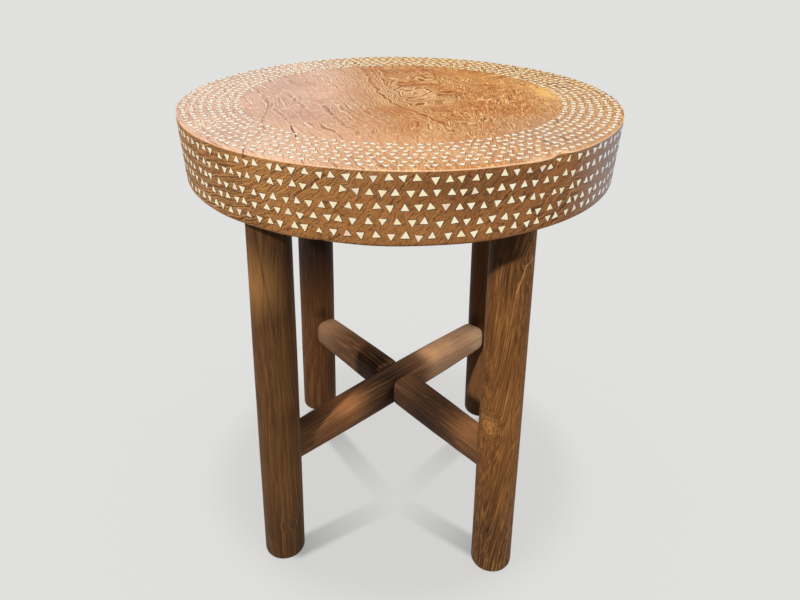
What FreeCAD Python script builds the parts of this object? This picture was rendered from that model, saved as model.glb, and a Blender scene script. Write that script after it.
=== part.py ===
# Round inlaid side table: a thick tapered wooden top on four round legs, braced by two
# stretchers that cross in a halved joint. Rows of small shell triangles cover the side of
# the top and a border on its upper face.
# Frame: millimetres, +Z up, origin on the floor under the middle of the top. The front of
# the table faces -Y.

import FreeCAD
import Part

import math
import os

import Sketcher
from FreeCAD import Placement, Rotation, Vector

# Driving dimensions, in millimetres. Each one is written once, here.
DIMENSIONS = {
    # Whole table and top
    "table_height": 543,
    "top_diameter": 500,
    "top_thickness": 75,
    "top_side_taper": 7,
    "top_upper_arris": 3,
    "top_lower_arris": 4,
    # Legs
    "leg_diameter": 47,
    "leg_spacing_x": 258,
    "leg_spacing_y": 289,
    "leg_foot_ease": 5,
    "leg_tenon_width": 28,
    "leg_tenon_length": 40,
    # Stretchers, thickest where they cross
    "stretcher_height": 152,
    "stretcher_width": 38,
    "stretcher_depth": 40,
    "stretcher_end_width": 34,
    "stretcher_end_depth": 35,
    "stretcher_round": 12,
    "stretcher_tenon_width": 14,
    "stretcher_tenon_depth": 24,
    "stretcher_tenon_length": 26,
    # Glued joints
    "joint_clearance": 0.1,
    "glue_well": 1.5,
    # Shell inlay
    "tile_thickness": 0.5,
    "side_tile_width": 7.2,
    "side_tile_height": 7,
    "side_tile_pitch": 13.7,
    "side_row_pitch": 14,
    "side_first_row": 8,
    "side_row_count": 5,
    "border_tile_width": 5.6,
    "border_tile_height": 5.4,
    "border_tile_pitch": 11.8,
    "border_row_pitch": 10,
    "border_margin": 4.5,
    "border_row_count": 7,
}

# Where each leg stands: left or right of the middle, front or back of it
LEGS = {
    "leg_front_left": (-1, -1),
    "leg_front_right": (1, -1),
    "leg_back_left": (-1, 1),
    "leg_back_right": (1, 1),
}

# Expressions that several features share
TOP_RADIUS = "Dims.top_diameter / 2"
UNDERSIDE = "Dims.table_height - Dims.top_thickness"
LEG_RADIUS = "Dims.leg_diameter / 2"
HALF_DIAGONAL = "sqrt(Dims.leg_spacing_x ^ 2 + Dims.leg_spacing_y ^ 2) / 2"
DIAGONAL_ANGLE = "atan2(Dims.leg_spacing_y; Dims.leg_spacing_x)"
Z_AXIS = Vector(0, 0, 1)


def add_sheet(doc):
    """The spreadsheet of driving dimensions, one named cell each."""
    sheet = doc.addObject("Spreadsheet::Sheet", "Dims")
    for row, (name, value) in enumerate(DIMENSIONS.items(), start=1):
        sheet.set(f"A{row}", name)
        sheet.set(f"B{row}", str(value))
        sheet.setAlias(f"B{row}", name)
    doc.recompute()
    return sheet


def add_body(doc, name):
    body = doc.addObject("PartDesign::Body", name)
    body.Label = name
    return body


def origin_plane(body, role):
    """One of the body's own origin planes, by its role."""
    return next(f for f in body.Origin.OriginFeatures if f.Role == role)


def add_sketch(body, name, plane, offset=None, turn=None):
    """A sketch on an origin plane, moved along its normal and turned about it."""
    sketch = body.newObject("Sketcher::SketchObject", name)
    sketch.AttachmentSupport = (origin_plane(body, plane), [""])
    sketch.MapMode = "FlatFace"
    if turn:
        sketch.AttachmentOffset = Placement(Vector(), Rotation(Z_AXIS, 1))
        sketch.setExpression("AttachmentOffset.Rotation.Angle", turn)
    if offset:
        sketch.setExpression("AttachmentOffset.Base.z", offset)
    return sketch


def evaluate(sketch, expression):
    """The present value of an expression on the sheet."""
    return float(sketch.Document.getObject("Dims").evalExpression(expression))


def bind(sketch, kind, references, expression):
    """Adds a dimension to a sketch and ties it to an expression."""
    value = evaluate(sketch, expression)
    index = sketch.addConstraint(Sketcher.Constraint(kind, *references, value))
    sketch.setExpression(f"Constraints[{index}]", expression)


def hold_point(sketch, geometry, end, x, y):
    """Fixes a sketch point from the origin, where x and y are expressions. A point that
    starts on an axis stays on it."""
    for kind, expression, axis in (("DistanceX", x, -2), ("DistanceY", y, -1)):
        value = evaluate(sketch, expression)
        if value > 0:
            bind(sketch, kind, (-1, 1, geometry, end), expression)
        elif value < 0:
            bind(sketch, kind, (geometry, end, -1, 1), f"-({expression})")
        else:
            sketch.addConstraint(Sketcher.Constraint("PointOnObject", geometry, end, axis))


def add_outline(sketch, points):
    """A closed outline of straight lines through points given as pairs of expressions."""
    places = [Vector(evaluate(sketch, x), evaluate(sketch, y), 0) for x, y in points]
    lines = []
    for start, stop in zip(places, places[1:] + places[:1]):
        lines.append(sketch.addGeometry(Part.LineSegment(start, stop)))
    for line, following in zip(lines, lines[1:] + lines[:1]):
        sketch.addConstraint(Sketcher.Constraint("Coincident", line, 2, following, 1))
    for line, (x, y) in zip(lines, points):
        hold_point(sketch, line, 1, x, y)


def add_circle(sketch, x, y, diameter):
    place = Vector(evaluate(sketch, x), evaluate(sketch, y), 0)
    circle = Part.Circle(place, Z_AXIS, evaluate(sketch, diameter) / 2)
    index = sketch.addGeometry(circle)
    hold_point(sketch, index, 3, x, y)
    bind(sketch, "Diameter", (index,), diameter)


def add_rectangle(sketch, width, height, y="0"):
    """A rectangle centred on the sketch's vertical axis at the height y."""
    side = f"({width}) / 2"
    low, high = f"{y} - ({height}) / 2", f"{y} + ({height}) / 2"
    add_outline(sketch, [(f"-{side}", low), (side, low), (side, high), (f"-{side}", high)])


def add_feature(body, kind, name, sketch=None, **settings):
    """A feature of a body. A length, size or radius given as text is an expression."""
    feature = body.newObject(kind, name)
    if sketch:
        feature.Profile = sketch
        sketch.Visibility = False
    for setting, value in settings.items():
        if setting in ("Length", "Size", "Radius"):
            feature.setExpression(setting, value)
        else:
            setattr(feature, setting, value)
    body.Document.recompute()
    return feature


def add_checked(body, sign, kind, name, sketch, **settings):
    """A cut (-1) or an addition (+1) that stops the build if it left the volume alone."""
    before = body.Shape.Volume
    feature = add_feature(body, kind, name, sketch, **settings)
    if (body.Shape.Volume - before) * sign <= 0:
        raise RuntimeError(f"{name} did not change the solid as it should")
    return feature


def edge_names(shape, wanted):
    """Names of the edges of a shape that pass a test."""
    return [f"Edge{n}" for n, edge in enumerate(shape.Edges, start=1) if wanted(edge)]


def make_top(doc, sheet):
    """The solid top: a disc with tapered sides, eased arrises and four blind mortises."""
    body = add_body(doc, "tabletop")
    profile = add_sketch(body, "top_profile", "XZ_Plane")
    add_outline(
        profile,
        [
            ("0", UNDERSIDE),
            (f"{TOP_RADIUS} - Dims.top_side_taper", UNDERSIDE),
            (TOP_RADIUS, "Dims.table_height"),
            ("0", "Dims.table_height"),
        ],
    )
    disc = add_feature(
        body, "PartDesign::Revolution", "top_disc", profile,
        ReferenceAxis=(profile, ["V_Axis"]), Angle=360.0,
    )

    def rim_at(shape, height):
        return edge_names(
            shape, lambda e: e.Closed and abs(e.BoundBox.ZMin - height) < 1e-6
        )

    upper = add_feature(
        body, "PartDesign::Chamfer", "upper_arris",
        Base=(disc, rim_at(disc.Shape, sheet.table_height)), Size="Dims.top_upper_arris",
    )
    underside = sheet.table_height - sheet.top_thickness
    add_feature(
        body, "PartDesign::Chamfer", "lower_arris",
        Base=(upper, rim_at(upper.Shape, underside)), Size="Dims.top_lower_arris",
    )
    for name, (side, depth) in LEGS.items():
        plan = add_sketch(body, f"{name}_mortise_plan", "XY_Plane", offset=UNDERSIDE)
        plan.setExpression("AttachmentOffset.Base.x", f"{side} * Dims.leg_spacing_x / 2")
        plan.setExpression("AttachmentOffset.Base.y", f"{depth} * Dims.leg_spacing_y / 2")
        width = "Dims.leg_tenon_width + 2 * Dims.joint_clearance"
        add_rectangle(plan, width, width)
        add_checked(
            body, -1, "PartDesign::Pocket", f"{name}_mortise", plan,
            Reversed=True, Length="Dims.leg_tenon_length + Dims.glue_well",
        )
    return body


def make_leg(doc, name, side, depth):
    """A round leg with an eased foot, a square tenon for the top and a blind mortise that
    faces the middle of the table. It is drawn about its own axis, with that mortise on +X,
    and turned into place. The tenon stays square with the table."""
    body = add_body(doc, name)
    facing = f"atan2({-depth} * Dims.leg_spacing_y; {-side} * Dims.leg_spacing_x)"
    profile = add_sketch(body, f"{name}_profile", "XZ_Plane")
    ease = "Dims.leg_foot_ease"
    add_outline(
        profile,
        [
            ("0", "0"),
            (f"{LEG_RADIUS} - {ease}", "0"),
            (LEG_RADIUS, ease),
            (LEG_RADIUS, UNDERSIDE),
            ("0", UNDERSIDE),
        ],
    )
    add_feature(
        body, "PartDesign::Revolution", f"{name}_post", profile,
        ReferenceAxis=(profile, ["V_Axis"]), Angle=360.0,
    )
    tenon = add_sketch(
        body, f"{name}_tenon_plan", "XY_Plane", offset=UNDERSIDE, turn=f"-({facing})"
    )
    add_rectangle(tenon, "Dims.leg_tenon_width", "Dims.leg_tenon_width")
    add_checked(
        body, 1, "PartDesign::Pad", f"{name}_tenon", tenon, Length="Dims.leg_tenon_length"
    )
    floor = f"{LEG_RADIUS} - Dims.stretcher_tenon_length - Dims.glue_well"
    mortise = add_sketch(body, f"{name}_mortise_section", "YZ_Plane", offset=floor)
    add_rectangle(
        mortise,
        "Dims.stretcher_tenon_width + 2 * Dims.joint_clearance",
        "Dims.stretcher_tenon_depth + 2 * Dims.joint_clearance",
        y="Dims.stretcher_height",
    )
    add_checked(
        body, -1, "PartDesign::Pocket", f"{name}_mortise", mortise,
        Reversed=True, Length="Dims.leg_diameter",
    )
    body.Placement = Placement(Vector(), Rotation(Z_AXIS, 1))
    body.setExpression("Placement.Base.x", f"{side} * Dims.leg_spacing_x / 2")
    body.setExpression("Placement.Base.y", f"{depth} * Dims.leg_spacing_y / 2")
    body.setExpression("Placement.Rotation.Angle", facing)
    return body


def make_stretcher(doc, sheet, name, turn, notch_on_top):
    """A stretcher along one diagonal: a rounded bar that thins towards its ends, hollowed
    there to sit on a round leg, with a tenon that enters the leg, and halved where the two
    bars cross. It is drawn along its own X axis and turned into place."""
    body = add_body(doc, name)
    plan = add_sketch(body, f"{name}_half_plan", "XY_Plane")
    half_width, half_end_width = "Dims.stretcher_width / 2", "Dims.stretcher_end_width / 2"
    add_outline(
        plan,
        [
            ("0", f"-{half_width}"),
            (HALF_DIAGONAL, f"-{half_end_width}"),
            (HALF_DIAGONAL, half_end_width),
            ("0", half_width),
        ],
    )
    add_feature(
        body, "PartDesign::Pad", f"{name}_half_bar", plan,
        Midplane=True, Length="Dims.stretcher_depth",
    )
    wedges = add_sketch(body, f"{name}_taper_wedges", "XZ_Plane")
    half_depth, half_end_depth = "Dims.stretcher_depth / 2", "Dims.stretcher_end_depth / 2"
    for sign in ("", "-"):
        add_outline(
            wedges,
            [
                ("0", f"{sign}{half_depth}"),
                (HALF_DIAGONAL, f"{sign}{half_end_depth}"),
                (HALF_DIAGONAL, f"{sign}{half_depth}"),
            ],
        )
    half = add_checked(
        body, -1, "PartDesign::Pocket", f"{name}_taper", wedges,
        Midplane=True, Length="2 * Dims.stretcher_width",
    )
    reach = math.hypot(sheet.leg_spacing_x, sheet.leg_spacing_y) / 2
    arrises = edge_names(half.Shape, lambda e: e.BoundBox.XLength > reach / 2)
    add_feature(
        body, "PartDesign::Fillet", f"{name}_rounding",
        Base=(half, arrises), Radius="Dims.stretcher_round",
    )
    body.Tip = add_feature(
        body, "PartDesign::Mirrored", f"{name}_other_half",
        TransformMode="Whole shape", MirrorPlane=(origin_plane(body, "YZ_Plane"), [""]),
    )
    doc.recompute()
    hollows = add_sketch(body, f"{name}_leg_plan", "XY_Plane")
    for place in (HALF_DIAGONAL, f"-({HALF_DIAGONAL})"):
        add_circle(hollows, place, "0", "Dims.leg_diameter")
    add_checked(
        body, -1, "PartDesign::Pocket", f"{name}_leg_hollows", hollows,
        Midplane=True, Length="2 * Dims.stretcher_end_depth",
    )
    tenon = add_sketch(body, f"{name}_tenon_section", "YZ_Plane")
    add_rectangle(tenon, "Dims.stretcher_tenon_width", "Dims.stretcher_tenon_depth")
    length = f"{HALF_DIAGONAL} - {LEG_RADIUS} + Dims.stretcher_tenon_length"
    add_checked(
        body, 1, "PartDesign::Pad", f"{name}_tenons", tenon,
        Midplane=True, Length=f"2 * ({length})",
    )
    notch = add_sketch(
        body, f"{name}_notch_plan", "XY_Plane", turn=f"{-2 * turn} * {DIAGONAL_ANGLE}"
    )
    add_rectangle(
        notch, "3 * Dims.stretcher_width", "Dims.stretcher_width + 2 * Dims.joint_clearance"
    )
    add_checked(
        body, -1, "PartDesign::Pocket", f"{name}_notch", notch,
        Reversed=notch_on_top, Length="Dims.stretcher_depth",
    )
    body.Placement = Placement(Vector(), Rotation(Z_AXIS, 1))
    body.setExpression("Placement.Base.z", "Dims.stretcher_height")
    body.setExpression("Placement.Rotation.Angle", f"{turn} * {DIAGONAL_ANGLE}")
    return body


def triangle_chip(middle, across, upward, outward, width, height, thickness, points_up):
    """A triangular chip whose back is centred on middle and which stands outward from it."""
    tip = upward * (height / 2 if points_up else -height / 2)
    corners = [middle - across * (width / 2) - tip, middle + across * (width / 2) - tip]
    corners += [middle + tip, corners[0]]
    return Part.Face(Part.makePolygon(corners)).extrude(outward * thickness)


def add_tile_row(doc, name, chips, radius, pitch, stagger):
    """A node of tiles: two chips, turn about, copied round the table's axis."""
    pairs = max(3, round(math.pi * radius / pitch))
    step = 180.0 / pairs
    tiles = []
    for n in range(2 * pairs):
        tile = chips[n % 2].copy()
        tile.rotate(Vector(), Z_AXIS, (n + stagger) * step)
        tiles.append(tile)
    row = doc.addObject("Part::Feature", name)
    row.Label = name
    row.Shape = Part.makeCompound(tiles)
    row.Placement = Placement()
    return row


def make_side_rows(doc, sheet):
    """Rows of flat tiles round the tapered side, each bedded along its middle line."""
    taper = math.atan2(sheet.top_side_taper, sheet.top_thickness)
    outward = Vector(math.cos(taper), 0, -math.sin(taper))
    upward = Vector(math.sin(taper), 0, math.cos(taper))
    rows = []
    for n in range(int(sheet.side_row_count)):
        drop = sheet.side_first_row + n * sheet.side_row_pitch
        row_radius = sheet.top_diameter / 2 - drop * math.tan(taper)
        middle = Vector(row_radius, 0, sheet.table_height - drop)
        chips = []
        for points_up in (True, False):
            chip = triangle_chip(
                middle, Vector(0, 1, 0), upward, outward,
                sheet.side_tile_width, sheet.side_tile_height,
                sheet.tile_thickness, points_up,
            )
            chips.append(chip)
        name = f"side_inlay_row_{n + 1}"
        stagger = 0.5 * (n % 2)
        rows.append(add_tile_row(doc, name, chips, row_radius, sheet.side_tile_pitch, stagger))
    return rows


def make_border_rows(doc, sheet):
    """Rings of tiles on the upper face, counted from its edge inwards."""
    first = sheet.top_diameter / 2 - sheet.border_margin - sheet.border_tile_height / 2
    rows = []
    for n in range(int(sheet.border_row_count)):
        row_radius = first - n * sheet.border_row_pitch
        middle = Vector(row_radius, 0, sheet.table_height)
        chips = []
        for points_out in (True, False):
            chip = triangle_chip(
                middle, Vector(0, 1, 0), Vector(1, 0, 0), Z_AXIS,
                sheet.border_tile_width, sheet.border_tile_height,
                sheet.tile_thickness, points_out,
            )
            chips.append(chip)
        name = f"border_inlay_row_{n + 1}"
        stagger = 0.5 * (n % 2)
        rows.append(add_tile_row(doc, name, chips, row_radius, sheet.border_tile_pitch, stagger))
    return rows


def check_document(doc, pieces):
    """Stops the build if anything failed to compute or isn't a sound solid."""
    for item in doc.Objects:
        if "Invalid" in item.State or "Error" in item.State:
            raise RuntimeError(f"{item.Label} failed: {item.State}")
    for piece in pieces:
        shape = piece.Shape
        if shape.isNull() or not shape.isValid() or not shape.Solids:
            raise RuntimeError(f"{piece.Label} is not a sound solid")


def main():
    doc = FreeCAD.newDocument("side_table")
    sheet = add_sheet(doc)
    pieces = [make_top(doc, sheet)]
    for name, (side, depth) in LEGS.items():
        pieces.append(make_leg(doc, name, side, depth))
    pieces.append(make_stretcher(doc, sheet, "upper_stretcher", 1, notch_on_top=False))
    pieces.append(make_stretcher(doc, sheet, "lower_stretcher", -1, notch_on_top=True))
    pieces += make_side_rows(doc, sheet)
    pieces += make_border_rows(doc, sheet)
    doc.recompute()
    check_document(doc, pieces)
    os.makedirs("parts", exist_ok=True)
    for piece in pieces:
        piece.Shape.exportStep(os.path.join("parts", f"{piece.Label}.step"))
        print(piece.Label, len(piece.Shape.Solids), "solids", round(piece.Shape.Volume), "mm3")


main()
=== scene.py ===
# %% [markdown]
# # An inlaid side table
# A thick round slab of figured wood stands on four round legs. Hundreds of small triangles of
# shell are let into its side and into a broad ring on its top. Two crossed bars tie the legs
# together. The sizes come from a measured model of the table, which is loaded first and never
# moved. Each step below makes one piece or one finish, and says why it is made that way.

# %% Load the measured model
import math
import random

import bmesh
import bpy
from mathutils import Matrix, Vector


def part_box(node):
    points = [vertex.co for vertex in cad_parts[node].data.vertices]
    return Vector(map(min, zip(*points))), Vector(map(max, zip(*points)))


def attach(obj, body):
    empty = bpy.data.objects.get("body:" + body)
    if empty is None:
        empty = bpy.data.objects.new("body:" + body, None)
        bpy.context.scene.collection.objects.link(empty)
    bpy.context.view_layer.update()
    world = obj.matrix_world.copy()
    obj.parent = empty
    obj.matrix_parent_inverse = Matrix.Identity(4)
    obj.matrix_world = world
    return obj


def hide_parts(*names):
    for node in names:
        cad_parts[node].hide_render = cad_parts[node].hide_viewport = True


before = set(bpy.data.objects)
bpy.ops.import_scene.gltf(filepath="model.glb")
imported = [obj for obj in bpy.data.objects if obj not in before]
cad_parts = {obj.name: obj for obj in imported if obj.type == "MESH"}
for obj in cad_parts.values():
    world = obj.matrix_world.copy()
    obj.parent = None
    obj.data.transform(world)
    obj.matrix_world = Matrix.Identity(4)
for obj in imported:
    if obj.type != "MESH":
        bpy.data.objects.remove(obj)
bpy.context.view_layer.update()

# %% [markdown]
# ## The camera
# The picture was taken from a little above the table top, and slightly from the right. A camera
# could be aimed with a constraint, but three turns in a row are easier to read: heading round the
# upright axis, tilt downwards, and a small lean. The lens is shifted because the picture was
# cropped, which keeps the legs as upright as they look there.

# %% Place the camera
heading = Matrix.Rotation(math.radians(2.97), 3, "Z")
tilt = Matrix.Rotation(math.radians(90 - 23.07), 3, "X")
lean = Matrix.Rotation(math.radians(0.5), 3, "Z")
bpy.ops.object.select_all(action="DESELECT")
bpy.ops.object.camera_add(location=(0.0440, -0.8472, 0.7540),
                          rotation=(heading @ tilt @ lean).to_euler())
camera = bpy.context.object
camera.data.lens = 33.42
camera.data.shift_x = 0.0042
camera.data.shift_y = -0.1025
bpy.context.scene.camera = camera
bpy.context.scene.view_settings.view_transform = "Standard"
print("camera stands", round(camera.location.length, 2), "m from the table's foot")

# %% [markdown]
# ## Writing finishes as sums
# A finish is a net of nodes, and a long net is hard to read as a list of links. The class below
# wraps one socket, so that a sum of two sockets adds the Math node for it. Colours are given as on
# a paint chart, from 0 to 255, and turned into the linear values that the nodes work with.

# %% A socket that can be added and multiplied
class Wire:
    """One socket of a node tree. Sums and products of wires add the Math nodes that they need."""

    def __init__(self, tree, socket=None):
        self.tree = tree
        self.socket = socket

    def node(self, kind, settings=None, inputs=None, output=0):
        """Adds a node: its settings first, then the values or wires of its inputs."""
        made = self.tree.nodes.new(kind)
        for name, value in (settings or {}).items():
            setattr(made, name, value)
        for name, value in (inputs or {}).items():
            if isinstance(value, Wire):
                self.tree.links.new(value.socket, made.inputs[name])
            else:
                made.inputs[name].default_value = value
        return Wire(self.tree, made.outputs[output] if made.outputs else None)

    def other(self, output):
        """Another output of the node that this wire leaves."""
        return Wire(self.tree, self.socket.node.outputs[output])

    def math(self, operation, *values):
        return self.node("ShaderNodeMath", {"operation": operation}, dict(enumerate(values)))

    def __add__(self, value):
        return self.math("ADD", self, value)

    def __radd__(self, value):
        return self.math("ADD", value, self)

    def __sub__(self, value):
        return self.math("SUBTRACT", self, value)

    def __rsub__(self, value):
        return self.math("SUBTRACT", value, self)

    def __mul__(self, value):
        return self.math("MULTIPLY", self, value)

    def __rmul__(self, value):
        return self.math("MULTIPLY", value, self)

    def __truediv__(self, value):
        return self.math("DIVIDE", self, value)

    def apart(self):
        """The three parts of a vector or a colour."""
        x = self.node("ShaderNodeSeparateXYZ", inputs={0: self})
        return x, x.other(1), x.other(2)

    def together(self, x, y, z):
        return self.node("ShaderNodeCombineXYZ", inputs={0: x, 1: y, 2: z})

    def noise(self, scale, detail=2.0, distortion=0.0):
        """Cloudy values round one half, where this wire is the place."""
        return self.node("ShaderNodeTexNoise", inputs={
            "Vector": self, "Scale": scale, "Detail": detail, "Distortion": distortion})

    def step(self, low, high):
        """A soft step from 0 at low to 1 at high."""
        return self.node("ShaderNodeMapRange", {"interpolation_type": "SMOOTHSTEP"},
                         {0: self, 1: low, 2: high})

    def near(self, point, reach):
        """1 at a point, falling softly to 0 at the reach, where this wire is the place."""
        gap = self.node("ShaderNodeVectorMath", {"operation": "DISTANCE"}, {0: self, 1: point}, output=1)
        return 1 - gap.step(0.0, reach)

    def blend(self, low, high):
        """A colour that goes from low to high as this wire goes from 0 to 1."""
        return self.node("ShaderNodeMix", {"data_type": "RGBA"}, {0: self, 6: low, 7: high}, output=2)


def chart(red, green, blue):
    """A paint chart's colour, 0 to 255, as the linear colour that nodes use."""
    values = [v / 255 for v in (red, green, blue)]
    return tuple(v / 12.92 if v <= 0.04045 else ((v + 0.055) / 1.055) ** 2.4 for v in values) + (1.0,)


# %% [markdown]
# ## The floor
# The table stands on a plain pale floor. The camera sees about half of the floor as an even glow
# that only it sees, and the rest as ordinary paint, which keeps the table's soft shadow. Four faint
# streaks of painted shadow run from the feet towards the middle. Lamps could cast them, but such
# lamps would light the table too, so they are painted: a streak is strongest at a foot and fades
# along a line.

# %% Tones of the floor
pale_grey = chart(225, 225, 223)
floor_grey = (0.75, 0.75, 0.735, 1.0)
floor_bounce = (0.38, 0.38, 0.38, 1.0)
floor_glow = (1.135, 1.135, 1.112, 1.0)
black = (0.0, 0.0, 0.0, 1.0)
glow_share = 0.52
# How dark the painted shadow streaks are at a foot, and where each painted shadow runs.
painted_shadow_darkness = 0.42
painted_foot_shadows = (
    ((-0.112, -0.152), (0.004, -0.065), 1.0),
    ((0.118, -0.143), (0.008, -0.068), 1.0),
    ((-0.130, 0.112), (-0.002, -0.068), 1.05),
    ((0.137, 0.110), (0.008, -0.058), 0.76))


def seen_by_camera(net):
    """1 for what the camera sees straight, mirrored or through glass, and 0 for light that bounces."""
    straight = net.node("ShaderNodeLightPath", output="Is Camera Ray")
    every = straight + straight.other("Is Glossy Ray") + straight.other("Is Transmission Ray")
    return net.math("MINIMUM", every, 1.0)


def off_line(x, y, start, end):
    """How far along a line a place lies, from 0 to 1, and how far from the line it is."""
    run_x, run_y = end[0] - start[0], end[1] - start[1]
    share = ((x - start[0]) * run_x + (y - start[1]) * run_y) / (run_x ** 2 + run_y ** 2)
    share = x.math("MINIMUM", x.math("MAXIMUM", share, 0.0), 1.0)
    off_x = x - start[0] - share * run_x
    off_y = y - start[1] - share * run_y
    return share, x.math("SQRT", off_x * off_x + off_y * off_y)


def painted_floor_shadows(net):
    """Soft streaks of painted shadow from the four feet towards the middle, 1 at a foot and 0 where they end.
    """
    x, y, z = net.node("ShaderNodeTexCoord", output="Object").apart()
    streaks = x * 0
    for foot, end, weight in painted_foot_shadows:
        share, off = off_line(x, y, foot, end)
        fading = (1 - share) * (1 - share * 0.4)
        streaks = net.math("MAXIMUM", streaks, fading * (1 - off.step(0.009, 0.021)) * weight)
    return streaks


# %% Lay the floor
bpy.ops.object.select_all(action="DESELECT")
bpy.ops.mesh.primitive_plane_add(size=40)
floor = bpy.context.object
floor.name = "studio_floor"
floor_paint = bpy.data.materials.new("pale_floor_paint")
floor_paint.use_nodes = True
floor_paint.node_tree.nodes.clear()
net = Wire(floor_paint.node_tree)
seen = seen_by_camera(net)
light_left = 1 - painted_floor_shadows(net) * painted_shadow_darkness
painted = light_left.blend(black, floor_grey)
glowing = light_left.blend(black, floor_glow)
paint = net.node("ShaderNodeBsdfDiffuse", inputs={"Color": seen.blend(floor_bounce, painted)})
glow = net.node("ShaderNodeEmission", inputs={"Color": glowing, "Strength": 1.0})
surface = net.node("ShaderNodeMixShader", inputs={0: seen * glow_share, 1: paint, 2: glow})
net.node("ShaderNodeOutputMaterial", inputs={"Surface": surface})
floor.data.materials.append(floor_paint)
print("floor laid, with", len(painted_foot_shadows), "streaks")

# %% [markdown]
# ## The light
# The lamps are suns, which are far lamps with a soft edge. The main one is at the front left, a cool
# one at the right gives that side its bluish edge, and a low one behind keeps the back from going
# dark. On the floor these three would throw hard shadows, so light linking lets them light the table
# only, and a lamp overhead lights the floor only. The right and back lamps give no gloss, because
# seen from the other side they would bleach the top. With a pale sky, the level is about the one
# where a colour shows as it is written.

# %% Hang the lamps
def hang_lamp(name, azimuth, height, strength, softness, tint=(1, 1, 1)):
    """A far lamp seen from the table at an azimuth, 0 in front and 90 to the right, and a height."""
    a, h = math.radians(azimuth), math.radians(height)
    towards = Vector((math.sin(a) * math.cos(h), -math.cos(a) * math.cos(h), math.sin(h)))
    bpy.ops.object.select_all(action="DESELECT")
    bpy.ops.object.light_add(type="SUN", location=towards * 3,
                             rotation=towards.to_track_quat("Z", "Y").to_euler())
    lamp = bpy.context.object
    lamp.name = name
    lamp.data.energy = strength
    lamp.data.angle = math.radians(softness)
    lamp.data.color = tint
    return lamp


main_lamp = hang_lamp("lamp_front_left", -28, 38, 3.10, 3)
right_lamp = hang_lamp("lamp_right", 82, 24, 2.20, 25, (0.84, 0.91, 1.0))
back_lamp = hang_lamp("lamp_behind", 188, 1, 1.60, 6)
floor_lamp = hang_lamp("lamp_above", 0, 88, 0.65, 7)
on_the_table = bpy.data.collections.new("on_the_table")
on_the_table.objects.link(floor)
on_the_table.collection_objects[0].light_linking.link_state = "EXCLUDE"
for lamp in (main_lamp, right_lamp, back_lamp):
    lamp.light_linking.receiver_collection = on_the_table
for lamp in (right_lamp, back_lamp):
    lamp.visible_glossy = False
on_the_floor = bpy.data.collections.new("on_the_floor")
on_the_floor.objects.link(floor)
floor_lamp.light_linking.receiver_collection = on_the_floor
print("four lamps hung")

# %% Spread the sky
sky = bpy.data.worlds.new("pale_sky")
bpy.context.scene.world = sky
sky.use_nodes = True
sky.node_tree.nodes.clear()
net = Wire(sky.node_tree)
light = net.node("ShaderNodeBackground", inputs={"Color": (1, 1, 1, 1), "Strength": 0.24})
backdrop = net.node("ShaderNodeBackground", inputs={"Color": pale_grey, "Strength": 1.0})
seen = net.node("ShaderNodeLightPath", output="Is Camera Ray")
surface = net.node("ShaderNodeMixShader", inputs={0: seen, 1: light, 2: backdrop})
net.node("ShaderNodeOutputWorld", inputs={"Surface": surface})
print("sky spread")

# %% [markdown]
# ## The wood of the top
# The slab is one block, so its grain should run on from the top over the rim and down the side.
# That is why the figure is worked out in space and not painted on each face: a value grows across
# the block, clouds bend it, a ridge and a flame near the middle push it aside, and each time it
# passes a whole ring a line will show. Places are read in millimetres, with the depth below the top.

# %% Start and end a finish
def new_finish(name):
    material = bpy.data.materials.new(name)
    material.use_nodes = True
    shader = material.node_tree.nodes["Principled BSDF"]
    place = Wire(material.node_tree).node("ShaderNodeTexCoord", output="Object")
    return material, shader, place


def end_finish(shader, colour, roughness, height, depth):
    """Feeds a finish's colour, its roughness, and a bump of the given depth in metres."""
    bump = colour.node("ShaderNodeBump", inputs={"Strength": 1.0, "Distance": depth, "Height": height})
    for name, wire in {"Base Color": colour, "Roughness": roughness, "Normal": bump}.items():
        colour.tree.links.new(wire.socket, shader.inputs[name])


def swelling(x, y, across, along, slant=0.0):
    """A round hill, 1 at its middle, over offsets x and y."""
    turn_x = x * math.cos(slant) + y * math.sin(slant)
    turn_y = y * math.cos(slant) - x * math.sin(slant)
    square = (turn_x / across) * (turn_x / across) + (turn_y / along) * (turn_y / along)
    return x.math("EXPONENT", square * -1.0)


def crack(x, y, start, end, width):
    """1 on a line from start to end, 0 off it, where x and y are the place."""
    distance = off_line(x, y, start, end)[1]
    return 1.0 - distance.step(width * 0.35, width)


# %% Bend the grain of the block
top_wood, top_shader, place = new_finish("figured_top_wood")
x, y, z = place.apart()
x = x * 1000
y = y * 1000
depth = 543 - z * 1000
broad = place.noise(6.5, detail=1.5) - 0.5
curl = place.noise(22, detail=1) - 0.5
squiggle = place.noise(80, detail=2) - 0.5
patch = place.noise(15, detail=2).step(0.35, 0.65)
cloud = place.noise(11, detail=3).step(0.36, 0.66)
right = (x + broad * 160).step(-130, 45)
ridge = swelling(x - 5, y - 25, 46, 95, 0.3)
flame = swelling(x - 78, y - 132, 26, 70, 0.35)
along = 0.51 * x - 0.86 * y
turned = x.step(-60, 130)
zigzag = place.math("PINGPONG", along + curl * 34, 14.0) - 7
wave = place.together(x * 0.06, y * 0.022, depth * 0.04).noise(1.0, detail=2) - 0.5
figure = 0.90 * x + y * (0.46 - turned * 0.40) + 1.15 * depth + broad * 60 + flame * 40
figure = figure + ridge * 60 + ridge * zigzag * 0.7
figure = figure + curl * (8 + ridge * 12) + squiggle * (2.0 + right * (1 - ridge) * 2.5)
figure = figure + wave * (4 + right * (1 - ridge * 0.8) * 18)
figure = figure + (place.together(figure * 0.05, 0.0, 0.0).noise(1.0, detail=1) - 0.5) * 24
print("grain bent with", len(top_wood.node_tree.nodes), "nodes")

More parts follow.
